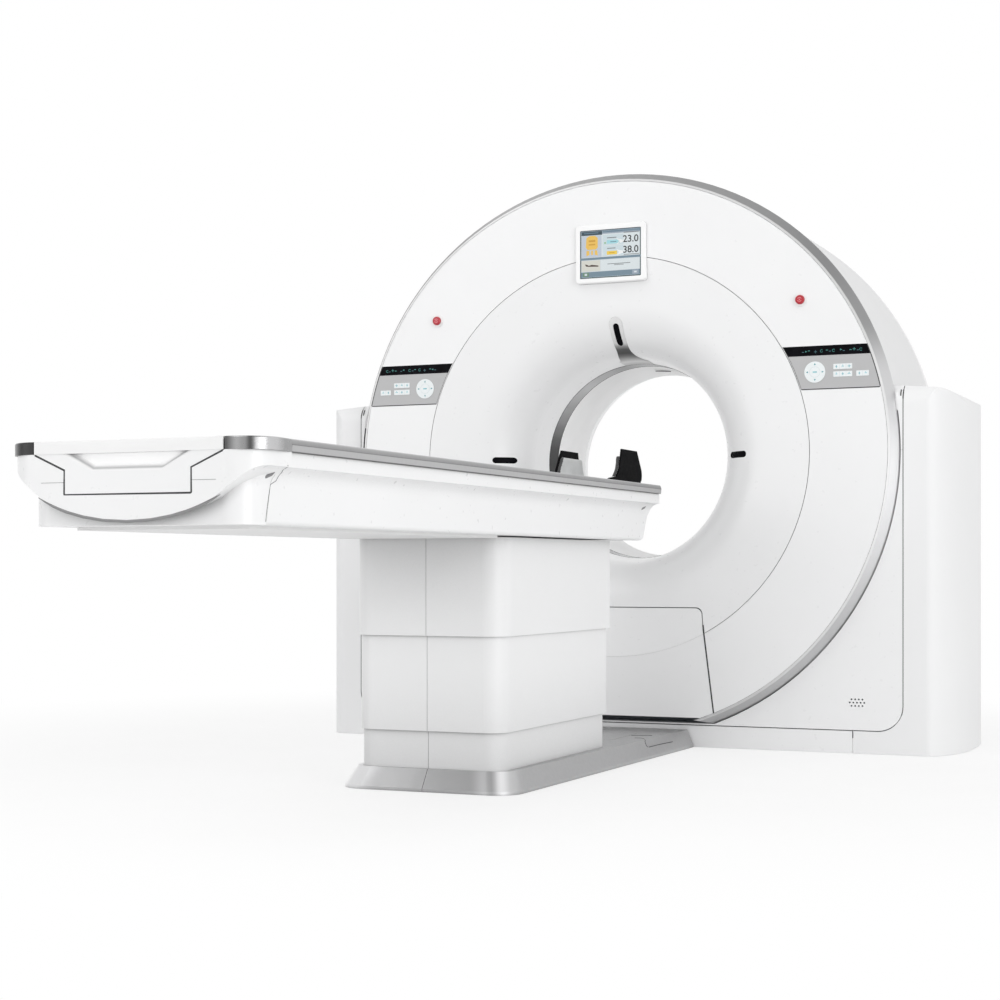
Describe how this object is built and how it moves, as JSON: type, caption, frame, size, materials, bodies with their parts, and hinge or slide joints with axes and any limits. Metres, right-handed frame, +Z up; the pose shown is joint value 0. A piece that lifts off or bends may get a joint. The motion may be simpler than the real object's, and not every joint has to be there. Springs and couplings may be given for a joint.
{
  "type": "computed tomography scanner",
  "caption": "Ring-shaped scanner gantry on a squared foot, with an enclosed spinning rotor and a patient table that lifts and runs its cradle through the bore.",
  "frame": {"origin": "on the floor, under the bore axis, in the plane of the gantry's front face", "axes": "+Y along the patient's travel into the bore, +Z up, +X to the right for someone who looks into the bore"},
  "size_m": [2.33, 3.84, 1.983],
  "materials": {
    "ring_silver": "satin silver lacquer",
    "cover_white": "white lacquer",
    "funnel_white": "white lacquer",
    "service_white": "white lacquer",
    "band_silver": "satin silver lacquer",
    "liner_white": "satin white",
    "drum_white": "white lacquer",
    "rear_white": "white lacquer",
    "surround_white": "white lacquer",
    "side_white": "white lacquer",
    "skirt_white": "white lacquer",
    "bezel_white": "white",
    "screen_glass": "glossy screen",
    "panel_silver": "silver membrane",
    "status_black": "black glass",
    "collar_white": "white",
    "stop_red": "red",
    "window_dark": "dark window",
    "frame_grey": "powder coat",
    "bearing_steel": "ground steel",
    "rotor_aluminium": "cast aluminium",
    "slip_brass": "turned tracks",
    "tube_metal": "cast housing",
    "supply_metal": "sheet housing",
    "belt_rubber": "belt rubber",
    "motor_metal": "cast housing",
    "pulley_aluminium": "turned",
    "base_silver": "satin silver lacquer",
    "column_white": "satin white",
    "lift_steel": "zinc plate",
    "table_white": "white lacquer",
    "foot_white": "white lacquer",
    "channel_aluminium": "anodised",
    "pan_white": "satin white",
    "rail_silver": "satin silver",
    "trim_silver": "polished",
    "cradle_white": "carbon-fibre shell with a foam core, painted",
    "carriage_white": "white lacquer",
    "holder_black": "black composite",
    "holder_grey": "grey foam skin"
  },
  "bodies": {
    "gantry": {"base_cover_left": "base_silver", "base_cover_right": "base_silver", "bore_liner": "liner_white", "bore_trim_ring": "band_silver", "control_panel_left": "panel_silver", "control_panel_right": "panel_silver", "display_bezel": "bezel_white", "display_screen": "screen_glass", "drive_belt": "belt_rubber", "drive_motor": "motor_metal", "drum_shell": "drum_white", "estop_collar_left": "collar_white", "estop_collar_right": "collar_white", "front_face_cover": "cover_white", "front_surround_cover": "surround_white", "funnel_cover": "funnel_white", "gantry_frame": "frame_grey", "gantry_side_cover_left": "side_white", "gantry_side_cover_right": "side_white", "laser_windows": "window_dark", "lift_tube_outer": "lift_steel", "lower_column_cover": "column_white", "main_bearing_outer_race": "bearing_steel", "rear_cover": "rear_white", "ring_trim": "ring_silver", "service_cover": "service_white", "skirt_centre": "skirt_white", "stator_ring": "frame_grey", "status_display_left": "status_black", "status_display_right": "status_black", "table_base_plate": "frame_grey"},
    "rotor": {"main_bearing_inner_race": "bearing_steel", "rotor_drum": "rotor_aluminium", "slip_ring": "slip_brass", "xray_tube": "tube_metal", "collimator": "tube_metal", "high_voltage_generator": "supply_metal", "detector_arc": "supply_metal"},
    "motor_pulley": {"motor_pulley": "pulley_aluminium"},
    "middle_cover": {"middle_column_cover": "column_white"},
    "lift_middle": {"lift_tube_middle": "lift_steel"},
    "table": {"upper_column_cover": "column_white", "lift_tube_inner": "lift_steel", "table_side_cover_right": "table_white", "table_side_cover_left": "table_white", "foot_cover": "foot_white", "cradle_channel": "channel_aluminium", "head_cover": "table_white", "table_chassis": "lift_steel", "under_cover": "pan_white", "side_rail_right": "rail_silver", "side_rail_left": "rail_silver", "corner_trim_right": "trim_silver", "corner_trim_left": "trim_silver"},
    "cradle": {"cradle_top": "cradle_white", "cradle_carriage": "carriage_white", "head_holder_shell": "holder_black", "head_holder_pad": "holder_grey"},
    "stop_left": {"estop_button_left": "stop_red"},
    "stop_right": {"estop_button_right": "stop_red"}
  },
  "joints": [
    {"name": "rotor_spin", "type": "hinge", "parent": "gantry", "child": "rotor", "pos_m": [0, 0.6, 1], "axis": [0, 1, 0], "continuous": true},
    {"name": "motor_pulley_spin", "type": "hinge", "parent": "gantry", "child": "motor_pulley", "pos_m": [0.8, 0.577, 0.36], "axis": [0, 1, 0], "continuous": true},
    {"name": "table_lift", "type": "slide", "parent": "gantry", "child": "table", "axis": [0, 0, 1], "range_m": [-0.36, 0.04]},
    {"name": "middle_cover_slide", "type": "slide", "parent": "gantry", "child": "middle_cover", "axis": [0, 0, 1], "range_m": [-0.102, 0.012]},
    {"name": "lift_middle_slide", "type": "slide", "parent": "gantry", "child": "lift_middle", "axis": [0, 0, 1], "range_m": [-0.181, 0.021]},
    {"name": "cradle_slide", "type": "slide", "parent": "table", "child": "cradle", "axis": [0, 1, 0], "range_m": [0, 1.7]},
    {"name": "stop_right_push", "type": "slide", "parent": "gantry", "child": "stop_right", "axis": [0, 1, 0], "range_m": [0, 0.005], "stiffness_N_per_m": 900, "springref_m": -0.002},
    {"name": "stop_left_push", "type": "slide", "parent": "gantry", "child": "stop_left", "axis": [0, 1, 0], "range_m": [0, 0.005], "stiffness_N_per_m": 900, "springref_m": -0.002}
  ],
  "couplings": [
    {"joint": "motor_pulley_spin", "follows": "rotor_spin", "ratio": 15},
    {"joint": "middle_cover_slide", "follows": "table_lift", "ratio": 0.28},
    {"joint": "lift_middle_slide", "follows": "table_lift", "ratio": 0.5}
  ]
}
